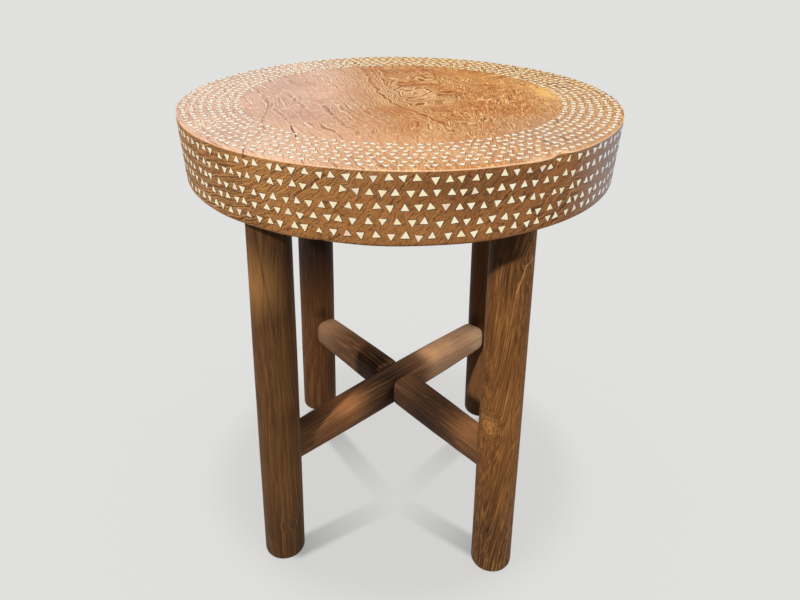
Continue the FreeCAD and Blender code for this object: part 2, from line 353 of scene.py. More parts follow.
# %% [markdown]
# ### Growth lines, veins and fibres
# Each growth ring ends in a dark line, and the next one starts with a pale line. Broad and fine rings
# are mixed. The right of the block is veined instead, with the contour lines of a stretched cloud.
# Another cloud breaks the lines up. Two finer ones along the grain give fibres, flecks and pores.

# %% Draw the lines
def growth_lines(figure, period, pale=0.42):
    """A dark line at the end of each growth ring and a pale one after it, each of its own strength."""
    turn = figure / period
    ring = figure.math("FRACT", turn)
    number = figure.math("FLOOR", turn)
    own = figure.node("ShaderNodeTexWhiteNoise", {"noise_dimensions": "1D"}, {"W": number})
    own = 0.45 + own * 0.9
    return ring.step(0.40, 0.85) * (1 - ring.step(0.90, 1.0)) * own, (1 - ring.step(0.10, pale)) * own


wide_dark, wide_pale = growth_lines(figure, 7.2)
fine_dark, fine_pale = growth_lines(figure + squiggle * 3, 3.4)
contour = place.together(x * 0.13, y * 0.022, depth * 0.08).noise(1.0, detail=1, distortion=0.8)
vein_dark, vein_pale = growth_lines(contour * 9, 1.0, 0.32)
broken = place.together(figure * 0.16, along * 0.035, depth * 0.1).noise(1.0, detail=2).step(0.36, 0.60)
broken = 0.3 + place.math("MAXIMUM", broken, ridge) * 0.8
fineness = 0.68 - ridge * 0.15 + turned * 0.15 * (1 - ridge)
veined = turned * (1 - ridge) * 0.75
dark_line = (wide_dark * (1 - fineness) + fine_dark * fineness) * broken
pale_line = (wide_pale * (1 - fineness) + fine_pale * fineness) * broken
dark_line = dark_line * (1 - veined) + vein_dark * veined * 0.55
pale_line = pale_line * (1 - veined) + vein_pale * veined
fibre = place.together(figure * 0.45, along * 0.03, depth * 0.2).noise(1.0, detail=3)
streak = place.together(figure * 0.6 + 30, along * 0.10, depth * 0.3).noise(1.0, detail=2)
fleck = streak.step(0.53, 0.68)
pore = 1 - streak.step(0.30, 0.44)
print("lines drawn with", len(top_wood.node_tree.nodes), "nodes so far")

# %% [markdown]
# ### Colours of the upper face
# The upper face was sanded paler, pink at the left and golden at the right. Three tones are enough
# for the lines: a middle one, a deep one and a bright one. A picture of the wood could be wrapped
# round the block instead, but sums stay sharp at any distance. Soft hills of colour make the patches
# that this block has, each with its middle, its reach and how strongly it shows.

# %% Colour the upper face
middle = right.blend(chart(238, 191, 158), chart(188, 110, 46))
middle = (cloud * (1 - right) * 0.7).blend(middle, chart(204, 156, 132))
middle = (ridge * 0.5).blend(middle, chart(180, 112, 60))
deep = right.blend(chart(150, 96, 70), chart(94, 42, 10))
bright = right.blend(chart(255, 234, 212), chart(255, 202, 134))
bright = ridge.blend(bright, chart(255, 212, 156))
strength = (0.48 + right * 0.77) * (0.30 + patch * 0.90)
dark_share = 1.3 - ridge * 0.6 - turned * (1 - ridge) * 0.5
fibre_share = 1.5 + right * (1.9 - ridge * 2.2)
pale_share = 1.4 + ridge * 0.8 + turned * 0.15
top_tone = dark_line * strength * dark_share + (fibre - 0.5) * fibre_share + pore * (0.26 - ridge * 0.1)
top_colour = place.math("MINIMUM", place.math("MAXIMUM", top_tone, 0.0), 1.0).blend(middle, deep)
top_colour = place.math("MINIMUM", pale_line * strength * pale_share, 1.0).blend(top_colour, bright)
top_colour = (fleck * (0.7 - ridge * 0.5)).blend(top_colour, bright)
spot = place.noise(70, detail=2).step(0.50, 0.64)
for hill, amount, tint in (
        (swelling(x - 25, y - 150, 85, 42), 0.25, chart(176, 112, 58)),
        (swelling(x - 130, y - 95, 20, 90, 0.785), 0.45, chart(236, 168, 90)),
        (swelling(x - 176, y - 44, 13, 32, 0.25), 0.85, chart(255, 200, 112)),
        (swelling(x - 49, y + 10, 9, 12), 0.65, chart(206, 144, 88)),
        (swelling(x - 50, y - 82, 9, 14), 0.55, chart(206, 144, 88)),
        (swelling(x + 5, y + 185, 130, 60), 0.45, chart(250, 194, 148)),
        (swelling(x + 114, y + 121, 13, 15), 0.60, chart(226, 176, 136)),
        (swelling(x + 98, y + 85, 30, 22), 0.50, chart(192, 146, 126)),
        (swelling(x + 135, y - 50, 30, 40), 0.40, chart(198, 158, 140)),
        (swelling(x, y - 235, 240, 36), 0.80, chart(206, 142, 72)),
        (swelling(x - 215, y + 30, 40, 120), 0.50, chart(224, 178, 130)),
        (swelling(x - 165, y + 130, 60, 66), 0.75, chart(198, 156, 122)),
        (swelling(x - 200, y - 110, 60, 100, 0.6) * spot, 0.80, chart(112, 66, 34))):
    top_colour = (hill * amount).blend(top_colour, tint)
print("upper face coloured with", len(top_wood.node_tree.nodes), "nodes so far")

# %% [markdown]
# ### Colours of the side, the rim and the cracks
# The side kept its deeper brown and is rougher, so fine specks are added to the same lines. At the
# front right a greyish tint is painted in, as painted sheen of the cool light that it catches there.
# The rim between side and top is a pale line, partly wear and partly painted highlight. Cracks are
# thin dark lines at their own places, bent a little by the same clouds.

# %% Colour the side
side_dark, side_pale = growth_lines(figure + squiggle * 5, 3.8)
side_right = (x + broad * 120).step(-230, 200)
side_middle = side_right.blend(chart(178, 120, 62), chart(156, 98, 50))
side_deep = side_right.blend(chart(104, 62, 24), chart(78, 44, 18))
side_bright = side_right.blend(chart(226, 170, 104), chart(196, 138, 80))
speck = place.noise(700, detail=2) - 0.5
side_tone = side_dark * (0.15 + patch * 0.5) + (fibre - 0.47) * 3.4 + speck * 2.8 + cloud * 0.5
side_colour = place.math("MAXIMUM", side_tone, 0.0).blend(side_middle, side_deep)
side_colour = (side_pale * (0.2 + patch * 0.4)).blend(side_colour, side_bright)
side_colour = (fleck * 0.35).blend(side_colour, side_bright)
side_colour = (swelling(x - 70, depth - 18, 60, 16) * 0.45).blend(side_colour, chart(100, 60, 28))
# Painted cool sheen: a greyish tint at the front right of the side.
painted_cool_sheen_on_side = x.step(165, 240) * (1 - y.step(-70, 10))
side_colour = (painted_cool_sheen_on_side * 0.7).blend(side_colour, chart(172, 156, 148))
print("side coloured with", len(top_wood.node_tree.nodes), "nodes so far")

# %% Join side and top, and crack the wood
down_side = depth.step(0.5, 1.8)
on_top = 1 - down_side
# The pale rim line is partly wear and partly painted highlight, brighter at the right.
rim_wear_and_highlight = depth.step(0.05, 0.5) * (1 - depth.step(0.9, 1.8))
colour = down_side.blend(top_colour, side_colour)
colour = (rim_wear_and_highlight * 0.6).blend(colour, right.blend(chart(240, 190, 136), chart(248, 208, 166)))
wander_x = x + curl * 9 + squiggle * 1.5
wander_y = y + curl * 4
split = crack(wander_x, wander_y, (-145, -26), (-135, -113), 1.0) * 0.5
split = split + crack(wander_x, wander_y, (-104, -121), (-90, -160), 1.2)
over_the_rim = crack(wander_x, wander_y, (-134, -190), (-129, -216), 0.8)
split = split * on_top + over_the_rim * (1 - depth.step(9, 12))
for start, end in (((149, -150), (161, -171)), ((168, -135), (176, -157)),
                   ((164, -73), (172, -86)), ((179, -124), (184, -140))):
    split = split + crack(wander_x, wander_y, start, end, 1.3) * on_top * 0.8
split = place.math("MINIMUM", split, 1.0)
colour = (split * 0.9).blend(colour, chart(72, 34, 16))
roughness = 0.50 + fibre * 0.16 + dark_line * 0.05
height = fibre * 0.4 - split * 2
end_finish(top_shader, colour, roughness, height, 0.0001)
top_shader.inputs["Specular IOR Level"].default_value = 0.3
print("top wood has", len(top_wood.node_tree.nodes), "nodes")

# %% [markdown]
# ## Shaping the slab
# The slab is turned from one block: a drum a little narrower below than above, with both rims
# eased by hand. A drum primitive is the start. Its lower ring is drawn in for the taper, cuts
# through the side give rows of points, and both rims are bevelled. Two insets of the upper face keep
# its middle flat when the rim moves. The block isn't quite true, so a few points on the rim are
# pulled in or out, and soft falloff takes their neighbours along. A knock at the right has taken a
# bite out of the upper rim.

# %% Tools for work at the bench
def clear_bench():
    if bpy.context.object and bpy.context.object.mode != "OBJECT":
        bpy.ops.object.mode_set(mode="OBJECT")
    bpy.ops.object.select_all(action="DESELECT")


def take_up(name, finish):
    """Names the piece just added, gives it its finish, settles its place and opens it for editing."""
    piece = bpy.context.object
    piece.name = name
    piece.data.name = name
    piece.data.materials.append(finish)
    bpy.ops.object.transform_apply(location=True, rotation=True, scale=True)
    bpy.ops.object.mode_set(mode="EDIT")
    return piece


def pick(kind, rule):
    """Selects the points, edges or faces that pass a rule, and nothing else."""
    bpy.ops.mesh.select_mode(type=kind)
    bpy.ops.mesh.select_all(action="DESELECT")
    mesh = bpy.context.edit_object.data
    form = bmesh.from_edit_mesh(mesh)
    parts = {"VERT": form.verts, "EDGE": form.edges, "FACE": form.faces}[kind]
    for part in parts:
        if rule(part):
            part.select_set(True)
    form.select_flush_mode()
    bmesh.update_edit_mesh(mesh)


def level(edge, z, slack=1e-4):
    """True for an edge that lies at height z."""
    return all(abs(point.co.z - z) < slack for point in edge.verts)


def put_down(angle=40):
    """Closes the piece: no doubled points, faces outwards, smooth where it curves."""
    bpy.ops.mesh.select_all(action="SELECT")
    bpy.ops.mesh.remove_doubles(threshold=1e-6)
    bpy.ops.mesh.normals_make_consistent(inside=False)
    bpy.ops.object.mode_set(mode="OBJECT")
    bpy.ops.object.shade_smooth_by_angle(angle=math.radians(angle))
    return bpy.context.object


# %% Turn the drum
slab_low, slab_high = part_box("tabletop")
slab_thick = slab_high.z - slab_low.z
slab_middle = Vector((0.0026, 0.0035, 0))
rim_radius = (slab_high.x - slab_low.x) / 2 + 0.003
taper = 0.0055
clear_bench()
bpy.ops.mesh.primitive_cylinder_add(
    vertices=256, radius=rim_radius, depth=slab_thick,
    location=slab_middle + Vector((0, 0, (slab_low.z + slab_high.z) / 2)))
slab = take_up("inlaid_slab", top_wood)
draw_in = 1 - taper / rim_radius
pick("VERT", lambda point: point.co.z < slab_low.z + 0.001)
bpy.ops.transform.resize(value=(draw_in, draw_in, 1), center_override=slab_middle)
for up in (0.2, 0.4, 0.6, 0.8):
    pick("FACE", lambda face: abs(face.normal.z) < 0.5)
    bpy.ops.mesh.bisect(plane_co=(0, 0, slab_low.z + up * slab_thick), plane_no=(0, 0, 1))
pick("EDGE", lambda edge: level(edge, slab_high.z))
bpy.ops.mesh.bevel(offset=0.0013, segments=3)
pick("EDGE", lambda edge: level(edge, slab_low.z))
bpy.ops.mesh.bevel(offset=0.004, segments=4)
for inwards in (0.012, 0.020):
    pick("FACE", lambda face: face.normal.z > 0.99 and len(face.verts) > 100)
    bpy.ops.mesh.inset(thickness=inwards)
print("drum turned,", round(2000 * rim_radius), "mm across")

# %% Leave it a little untrue
def pull_rim(degrees, height, outwards, down, reach):
    """Moves the rim point nearest to a bearing and a height, with its neighbours inside the reach."""
    a = math.radians(degrees)
    goal = slab_middle + Vector((rim_radius * math.cos(a), rim_radius * math.sin(a), height))
    form = bmesh.from_edit_mesh(slab.data)
    nearest = min(form.verts, key=lambda point: (point.co - goal).length).co.copy()
    pick("VERT", lambda point: (point.co - nearest).length < 1e-5)
    bpy.ops.transform.translate(value=(outwards * math.cos(a), outwards * math.sin(a), -down),
                                use_proportional_edit=True, proportional_edit_falloff="SMOOTH",
                                proportional_size=reach)


for degrees, outwards in ((-100, -0.0006), (-135, 0.0006), (-70, 0.0006), (-20, -0.0006), (30, 0.0008),
                          (75, 0.0006), (126, -0.0040), (150, -0.0030), (172, -0.0010)):
    pull_rim(degrees, slab_high.z, outwards, 0.0, 0.10)
for degrees, down in ((-168, 0.0014), (-150, 0.0018), (-132, 0.0018),
                      (-114, 0.0014), (-92, 0.0010), (-70, 0.0008)):
    pull_rim(degrees, slab_low.z, 0.0, down, 0.07)
pull_rim(-58, slab_high.z, 0.0020, 0.0005, 0.026)
pull_rim(-50.5, slab_high.z, -0.0046, 0.0012, 0.016)
pull_rim(-104, slab_low.z, -0.0010, -0.0012, 0.006)
put_down(30)
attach(slab, "root")
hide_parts("tabletop")
print("slab has", len(slab.data.polygons), "faces")

# %% [markdown]
# ## Shell
# The triangles are cut by hand from shell, so no two have quite the same colour: most are cream, some
# nearly white, a few pink or grey, and each has faint growth streaks. Every triangle carries its own
# three numbers, kept in an attribute of the mesh, and the finish turns them into that triangle's
# colour. It is mixed twice: creamier for the side, and whiter for the top, where it warms to the back.

# %% Mix the shell
def mix_shell(name, white, cream, grey, back, painted_cool_sheen):
    """Shell that gets warmer to the back by one share, and takes a painted cool sheen at the front right by
    another.
    """
    shell, shader, place = new_finish(name)
    own = place.node("ShaderNodeAttribute", {"attribute_name": "chip_tone"}, output="Vector")
    tone, odd, turn = own.apart()
    x, y, z = place.apart()
    streak = place.together(x * 900 + turn * 40, y * 900 + tone * 40, z * 320 + x * 200)
    streak = streak.noise(1.0, detail=2)
    cloud = place.noise(420, detail=2)
    warm = tone * (0.45 + x.step(-0.22, 0.0) * 0.25) + y.step(-0.08, 0.24) * x.step(-0.20, 0.08) * back
    colour = warm.blend(white, cream)
    colour = (odd.step(0.86, 0.97) * 0.75).blend(colour, grey)
    colour = (streak.step(0.48, 0.75) * 0.35).blend(colour, cream)
    colour = (cloud.step(0.62, 0.85) * 0.25).blend(colour, chart(222, 190, 142))
    # Painted cool sheen: the shell turns bluish white at the front right.
    front_right = x.step(0.17, 0.23) * (1 - y.step(-0.07, 0.02))
    colour = (front_right * painted_cool_sheen).blend(colour, chart(248, 251, 255))
    end_finish(shader, colour, 0.30 + cloud * 0.2, streak * 0.6 + cloud * 0.4, 0.00006)
    return shell


# The side's shell carries the painted cool sheen at the front right; the top's shell does not.
side_shell = mix_shell("cream_shell", chart(255, 247, 218), chart(253, 228, 172),
                       chart(238, 206, 186), back=0.0, painted_cool_sheen=0.9)
border_shell = mix_shell("white_shell", chart(255, 253, 244), chart(255, 236, 184),
                         chart(240, 222, 204), back=0.9, painted_cool_sheen=0.0)
print("two shells mixed")

# %% [markdown]
# ## Glue
# Each triangle sits in a pocket that is a little too large, and glue fills the gap. It shows as a thin
# dark line, nearly black on the side and brown on the sanded top. A line could be drawn in the wood's
# finish, but a finish of its own lets the glue be a thin piece under each triangle. Each bed is
# shifted to one side of its triangle, so the dark line there is glue and painted shadow at once.

# %% Mix the glue
def mix_glue(name, dark, pale):
    glue, shader, place = new_finish(name)
    grit = place.noise(600, detail=2)
    end_finish(shader, grit.blend(dark, pale), 0.6 + grit * 0.2, grit, 0.0001)
    return glue


side_glue = mix_glue("dark_glue", chart(38, 20, 9), chart(84, 50, 26))
border_glue = mix_glue("brown_glue", chart(82, 48, 26), chart(136, 88, 52))
print("two glues mixed")

# %% [markdown]
# ## Cutting one triangle
# One triangle is cut once for the side and once for the top: a drum with three sides is a prism,
# its corners are nicked by a bevel and its upper edge is eased by another. Under it goes a bed of
# glue, a slightly larger prism that stops just below. Both are only a few faces, because they are
# about to be copied well over a thousand times.

# %% Cut a chip and its bed
def cut_prism(name, finish, wide, tall, top, thick, corner, ease):
    clear_bench()
    bpy.ops.mesh.primitive_cylinder_add(vertices=3, radius=1, depth=thick, location=(0, 0, top - thick / 2))
    bpy.ops.transform.resize(value=(wide / math.sqrt(3), tall / 1.5, 1))
    prism = take_up(name, finish)
    pick("EDGE", lambda edge: abs(edge.verts[0].co.z - edge.verts[1].co.z) > thick / 2)
    bpy.ops.mesh.bevel(offset=corner, segments=1)
    if ease:
        pick("EDGE", lambda edge: level(edge, top, 1e-6))
        bpy.ops.mesh.bevel(offset=ease, segments=1)
    bpy.ops.mesh.select_all(action="SELECT")
    bpy.ops.mesh.normals_make_consistent(inside=False)
    bpy.ops.object.mode_set(mode="OBJECT")
    prism.data.attributes.new("chip_tone", "FLOAT_VECTOR", "POINT")
    return prism


chip_top, chip_thick, chip_ease = 0.00016, 0.0006, 0.00010
bed_top, bed_thick = 0.00006, 0.0004
side_chip = cut_prism("side_chip", side_shell, 0.0078, 0.0070, chip_top, chip_thick, 0.00032, chip_ease)
side_bed = cut_prism("side_bed", side_glue, 0.0094, 0.0085, bed_top, bed_thick, 0.00030, 0)
border_chip = cut_prism("border_chip", border_shell, 0.0075, 0.0062, chip_top, chip_thick, 0.00028, chip_ease)
border_bed = cut_prism("border_bed", border_glue, 0.0090, 0.0075, bed_top, bed_thick, 0.00028, 0)
print("a chip has", len(side_chip.data.polygons), "faces, its bed", len(side_bed.data.polygons))

# %% [markdown]
# ## Setting the triangles in rows
# The rows run round the drum, one triangle up and the next one down. The maker set them by eye, so
# each copy is nudged, turned, stretched and leaned a little, with a fixed seed that gives the same
# table every time. A ray shot at the slab finds the true surface at each place. All copies of a row
# are then joined into one piece, which stands for that row of the measured model.

# %% Lay copies and join a row
maker = random.Random(41)


def lay(model, matrix, tones):
    copy = bpy.data.objects.new(model.name, model.data.copy())
    bpy.context.collection.objects.link(copy)
    copy.data.transform(matrix)
    copy.data.attributes["chip_tone"].data.foreach_set("vector", list(tones) * len(copy.data.vertices))
    copy.select_set(True)
    return copy


def set_chip(chip, bed, spot, upwards, outwards, pointing, glue_and_painted_shadow_offset, grown=1.0):
    """Sets one chip and its bed at a spot, by eye, with the bed showing towards the shadow side, as glue and
    painted shadow.
    """
    upwards = upwards.normalized()
    sideways = upwards.cross(outwards)
    turn = maker.gauss(0, 0.08) + (0 if pointing else math.pi)
    size = grown * (1 + maker.uniform(-0.06, 0.06))
    shape = Matrix(((size * maker.uniform(0.93, 1.07), maker.uniform(-0.10, 0.10), 0, 0),
                    (maker.uniform(-0.05, 0.05), size * maker.uniform(0.92, 1.06), 0, 0),
                    (0, 0, 1, 0), (0, 0, 0, 1)))
    stand = Matrix((sideways, upwards, outwards)).transposed().to_4x4()
    tones = (maker.betavariate(2.2, 1.6), maker.random(), maker.random())
    settle = stand @ Matrix.Rotation(turn, 4, "Z") @ shape
    lay(bed, Matrix.Translation(spot + glue_and_painted_shadow_offset * maker.uniform(0.3, 1.1)) @ settle, tones)
    return lay(chip, Matrix.Translation(spot) @ settle, tones)


def join_row(name, node, first):
    bpy.context.view_layer.objects.active = first
    bpy.ops.object.join()
    row = bpy.context.object
    row.name = name
    row.data.name = name
    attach(row, "root")
    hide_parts(node)
    return row


def next_bearing(k, row, count):
    """Where a row's next chip goes round the drum. Every other row starts half a step on."""
    bearing = 2 * math.pi * (k + 0.5 * (row % 2) + maker.gauss(0, 0.09)) / count
    return bearing, Vector((math.cos(bearing), math.sin(bearing), 0))


# %% Set the five rows on the side
lean_in = math.atan(taper / slab_thick)
side_counts = (122, 130, 126, 122, 118)
side_depths = (0.0086, 0.0222, 0.0362, 0.0502, 0.0644)
slow_wave, quick_wave, slip = 0.0010, 0.0009, 0.0006
for row, (count, below) in enumerate(zip(side_counts, side_depths)):
    clear_bench()
    swing = maker.uniform(0, 6.28)
    for k in range(count):
        bearing, out = next_bearing(k, row, count)
        waver = slow_wave * math.sin(bearing + swing) + quick_wave * math.sin(5 * bearing + 2 * swing)
        above = slab_high.z - below + waver + maker.gauss(0, slip)
        spot = slab.ray_cast(out * 0.4 + Vector((0, 0, above)), -out)[1]
        outwards = (out * math.cos(lean_in) - Vector((0, 0, math.sin(lean_in)))).normalized()
        upwards = out * math.sin(lean_in) + Vector((0, 0, math.cos(lean_in)))
        # The bed shows to one side and below the chip, as glue and painted shadow.
        glue_and_painted_shadow_offset = upwards.cross(outwards) * 0.00040 - upwards * 0.00010
        # Chips are cut a little larger towards the right.
        grown = 1 + 0.18 * max(0, out.x - 0.6)
        first = set_chip(side_chip, side_bed, spot, upwards, outwards, k % 2 == 0, glue_and_painted_shadow_offset, grown)
    made = join_row(f"side_row_{row + 1}", f"side_inlay_row_{row + 1}", first)
    print(made.name, count, "chips,", len(made.data.polygons), "faces")

# %% Set the seven rings on the top
straight_up = Vector((0, 0, 1))
border_counts = (140, 136, 131, 127, 122, 118, 114)
outer_ring, ring_gap, ring_stretch = 0.2428, 0.00955, 0.0040
# The bed shows to the right and front of each chip, as glue and painted shadow.
glue_and_painted_shadow_offset = Vector((0.00028, -0.00022, 0))
for row, count in enumerate(border_counts):
    clear_bench()
    ring_deep = outer_ring - ring_gap * row
    ring_wide = ring_deep + ring_stretch
    # The rings lie a little to the back, each one more than the ring outside it.
    ring_middle = slab_middle + Vector((0.0004, 0.0030 + 0.0006 * row, 0))
    for k in range(count):
        bearing, out = next_bearing(k, row, count)
        over = ring_middle + Vector((ring_wide * out.x, ring_deep * out.y, 0)) + out * maker.gauss(0, slip)
        spot = slab.ray_cast(over + straight_up * 0.6, -straight_up)[1]
        # Chips are cut a little larger towards the back.
        grown = 1.10 + 0.14 * out.y
        first = set_chip(border_chip, border_bed, spot, -out, straight_up, k % 2 == 0, glue_and_painted_shadow_offset, grown)
    made = join_row(f"border_row_{row + 1}", f"border_inlay_row_{row + 1}", first)
    print(made.name, count, "chips,", len(made.data.polygons), "faces")
for model in (side_chip, side_bed, border_chip, border_bed):
    bpy.data.objects.remove(model)

# %% [markdown]
# ## The wood of the legs and bars
# Legs and bars come from straight, darker stock. The grain runs along each piece, so the same net
# is mixed three times: with the grain upright for the legs, and turned to each bar's own line.
# The growth layers are taken as nearly flat sheets, as they are in a pole cut from a wide plank.
# They show as long lines on two sides and as flames on the others. Fine clouds, stretched along
# the grain, give fibres, threads and flecks. Knots push the sheets apart, and soft patches make the
# places that are paler or darker: some are the wood's own stains, and some are painted light and shade.

# %% Mix a straight-grained wood
def mix_straight_wood(name, angle=None):
    """Wood with upright grain, or with level grain at an angle. Works in millimetres."""
    wood, shader, place = new_finish(name)
    x, y, z = [axis * 1000 for axis in place.apart()]
    along, a, b = z, x, y
    if angle is not None:
        along = x * math.cos(angle) + y * math.sin(angle)
        a = y * math.cos(angle) - x * math.sin(angle)
        b = z
    return wood, shader, place, along, a, b


def grow_straight(place, along, a, b, knots=()):
    """The tone of straight grain: above 0 is darker than the wood, below 0 is paler."""
    drift = place.together(a * 0.015, b * 0.015, along * 0.004).noise(1.0, detail=1) - 0.5
    sway = place.together(a * 0.05, b * 0.05, along * 0.012).noise(1.0, detail=2) - 0.5
    figure = a * 0.8 + b * 0.6 + drift * 34 + sway * 5
    for point, reach, rise in knots:
        figure = figure + place.near(point, reach) * rise
    dark_line, pale_line = growth_lines(figure, 5.6)
    other = b * 0.8 - a * 0.6
    fibre = place.together(figure * 0.50, other * 0.50, along * 0.008).noise(1.0, detail=3)
    thread = place.together(figure * 1.0, other * 1.0, along * 0.014).noise(1.0, detail=2)
    band = place.together(figure * 0.13, other * 0.13, along * 0.004).noise(1.0, detail=1)
    fleck = place.together(figure * 1.1, other * 1.1, along * 0.035).noise(1.0, detail=1)
    tone = (dark_line - pale_line) * 0.10 + (fibre - 0.5) * 0.9 + (thread - 0.5) * 1.3
    tone = tone + (band - 0.5) * 0.5 + (fleck - 0.5) * 0.7
    return tone, thread


def stains_and_painted_light(place, colour, patches):
    """Blends soft patches into a colour: the wood's own stains, and painted light and shade. Each has a
    middle, a reach in metres, a colour and a share.
    """
    for point, reach, tint, share in patches:
        colour = (place.near(point, reach) * share).blend(colour, tint)
    return colour


def end_straight_wood(shader, colour, tone, thread, deep, bright):
    """Darkens a colour to deep and pales it to bright by the tone, and ends the finish."""
    colour = tone.math("MAXIMUM", tone, 0.0).blend(colour, deep)
    colour = tone.math("MAXIMUM", tone * -1.0, 0.0).blend(colour, bright)
    end_finish(shader, colour, 0.55 + thread * 0.15, tone * -0.4 - thread * 0.3, 0.00016)
    shader.inputs["Specular IOR Level"].default_value = 0.15


# %% [markdown]
# ### The legs' marks, and painted light and shade
# The four legs share one finish, and masks tell them apart by where they stand: the front right one is
# redder, with a pale seam and a speckled knot. Light and shade are painted on as well: a pool of light
# on the front left leg, painted shade at the tops of the front right and back left legs under the slab,
# and painted shade where the bars meet the back legs.
# Each could have a finish of its own, but then every change would be made four times.

# %% Grow the wood of the legs
swirl = (0.1149, -0.1660, 0.2146)
leg_knots = ((swirl, 0.024, 13), ((0.140, -0.166, 0.425), 0.018, 5),
             ((-0.150, -0.158, 0.445), 0.016, 8), ((-0.117, -0.171, 0.055), 0.014, 7))
leg_wood, shader, place, along, a, b = mix_straight_wood("leg_wood")
x, y, z = place.apart()
front_right = x.step(0.0, 0.05) * (1 - y.step(-0.05, 0.0))
front_left = (1 - x.step(-0.05, 0.0)) * (1 - y.step(-0.05, 0.0))
back_left = (1 - x.step(-0.05, 0.0)) * y.step(0.0, 0.05)
back_right = x.step(0.0, 0.05) * y.step(0.0, 0.05)
tone, thread = grow_straight(place, along, a - front_right * z * 120, b, leg_knots)
colour = place.noise(9, detail=2).step(0.35, 0.65).blend(chart(80, 51, 25), chart(93, 60, 30))
colour = (front_right * 0.75).blend(colour, chart(124, 78, 38))
colour = (back_left * 0.75).blend(colour, chart(86, 49, 24))
colour = (back_right * 0.6).blend(colour, chart(124, 82, 48))
print("leg wood has", len(leg_wood.node_tree.nodes), "nodes so far")

# %% Stain and mark the legs, and paint light and shade on them
# Painted shade at the top of the back left leg, where the slab shades it.
painted_shade_back_left = (-0.129, 0.121, 0.300)
colour = stains_and_painted_light(place, colour, (
    # Painted pool of light on the upper left of the front left leg.
    ((-0.152, -0.156, 0.382), 0.060, chart(166, 116, 66), 0.85),
    (swirl, 0.020, chart(176, 126, 72), 0.4),
    ((0.129, -0.170, 0.2146), 0.010, chart(60, 36, 18), 0.6),
    ((0.129, -0.165, 0.040), 0.140, chart(80, 52, 28), 0.9),
    # Painted shade at the top of the front right leg, under the slab.
    ((0.122, -0.165, 0.450), 0.100, chart(76, 48, 27), 0.9),
    # Painted shade at the top of the back left leg.
    (painted_shade_back_left, 0.150, chart(28, 13, 6), 1.0),
    ((0.1127, -0.167, 0.419), 0.007, chart(20, 10, 6), 0.9),
    # Painted shade where the bars' noses meet the back legs.
    ((0.1080, 0.1240, 0.176), 0.020, chart(34, 20, 13), 0.9),
    ((-0.1180, 0.1240, 0.180), 0.017, chart(40, 24, 14), 0.8),
    ((-0.125, -0.165, 0.030), 0.120, chart(70, 46, 25), 0.7),
    ((-0.115, -0.172, 0.050), 0.005, chart(44, 26, 12), 0.8)))
seam = crack(x * 1000, z * 1000, (149, 420), (141, 415), 1.0)
seam = seam + crack(x * 1000, z * 1000, (141, 415), (133, 386), 1.0)
seam = seam + crack(x * 1000, z * 1000, (133, 386), (126, 320), 0.9) * 0.6
colour = (seam * front_right * 0.55).blend(colour, chart(196, 150, 100))
shake = crack(x * 1000, z * 1000, (-136, 446), (-119, 305), 1.4)
colour = (shake * front_left * 0.45).blend(colour, chart(40, 24, 12))
glints = place.near(swirl, 0.017) * place.noise(380, detail=2).step(0.50, 0.60)
# The grain is calmed inside the painted shade of the back left leg.
calm = 1 - place.near(painted_shade_back_left, 0.160) * 0.7
tone = tone * calm * (1 + front_right * 0.3) - glints * 1.6
leg_bright = front_right.blend(chart(134, 94, 54), chart(178, 122, 64))
end_straight_wood(shader, colour, tone, thread, chart(34, 18, 8), leg_bright)
print("leg wood has", len(leg_wood.node_tree.nodes), "nodes")

# %% [markdown]
# ## The legs
# A leg is a round pole with an eased foot. It could stay a plain cylinder, but a hand-planed pole
# is never quite even, so it is drawn up from its foot in short extrusions, each a hair wider or
# narrower than the last and slimmer towards the neck. Its foot is rounded with a bevel at the end,
# and its top goes a little way into the slab.

# %% Draw up the four legs
leg_steps, neck_from = 13, 8
into_slab, leg_uneven = 0.0006, 0.007


def draw_leg(node, radius, top_lean, foot_lean, neck):
    """A leg of its own thickness, whose top and foot lean away from the measured place a little."""
    low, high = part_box(node)
    middle = Vector(((low.x + high.x) / 2, (low.y + high.y) / 2, 0))
    foot, top = middle + Vector((*foot_lean, 0)), middle + Vector((*top_lean, 0))
    clear_bench()
    bpy.ops.mesh.primitive_circle_add(vertices=48, radius=radius, fill_type="NGON", location=foot)
    leg = take_up(node.replace("leg", "pole"), leg_wood)
    pick("FACE", lambda face: True)
    rise = Vector((0, 0, slab_low.z + into_slab)) + top - foot
    for k in range(1, leg_steps + 1):
        bpy.ops.mesh.extrude_region_move(TRANSFORM_OT_translate={"value": rise / leg_steps})
        slim = 1 - neck if k > neck_from else 1
        widen = slim + maker.uniform(-leg_uneven, leg_uneven)
        deepen = slim + maker.uniform(-leg_uneven, leg_uneven)
        if k < leg_steps:
            bpy.ops.transform.resize(value=(widen, deepen, 1), center_override=foot + rise * k / leg_steps)
    pick("EDGE", lambda edge: level(edge, 0.0))
    bpy.ops.mesh.bevel(offset=0.0055, segments=5)
    put_down(50)
    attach(leg, "root")
    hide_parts(node)
    return leg


for node, radius, top_lean, foot_lean, neck in (
        ("leg_front_left", 0.0243, (0.0026, 0), (-0.0008, -0.0052), 0.010),
        ("leg_front_right", 0.0243, (-0.0010, 0), (0, -0.0085), 0),
        ("leg_back_left", 0.0255, (0.0028, 0), (-0.0010, 0.0020), 0.010),
        ("leg_back_right", 0.0250, (-0.0022, 0), (0.0016, 0.0020), 0.005)):
    leg = draw_leg(node, radius, top_lean, foot_lean, neck)
    print(leg.name, "has", len(leg.data.polygons), "faces")

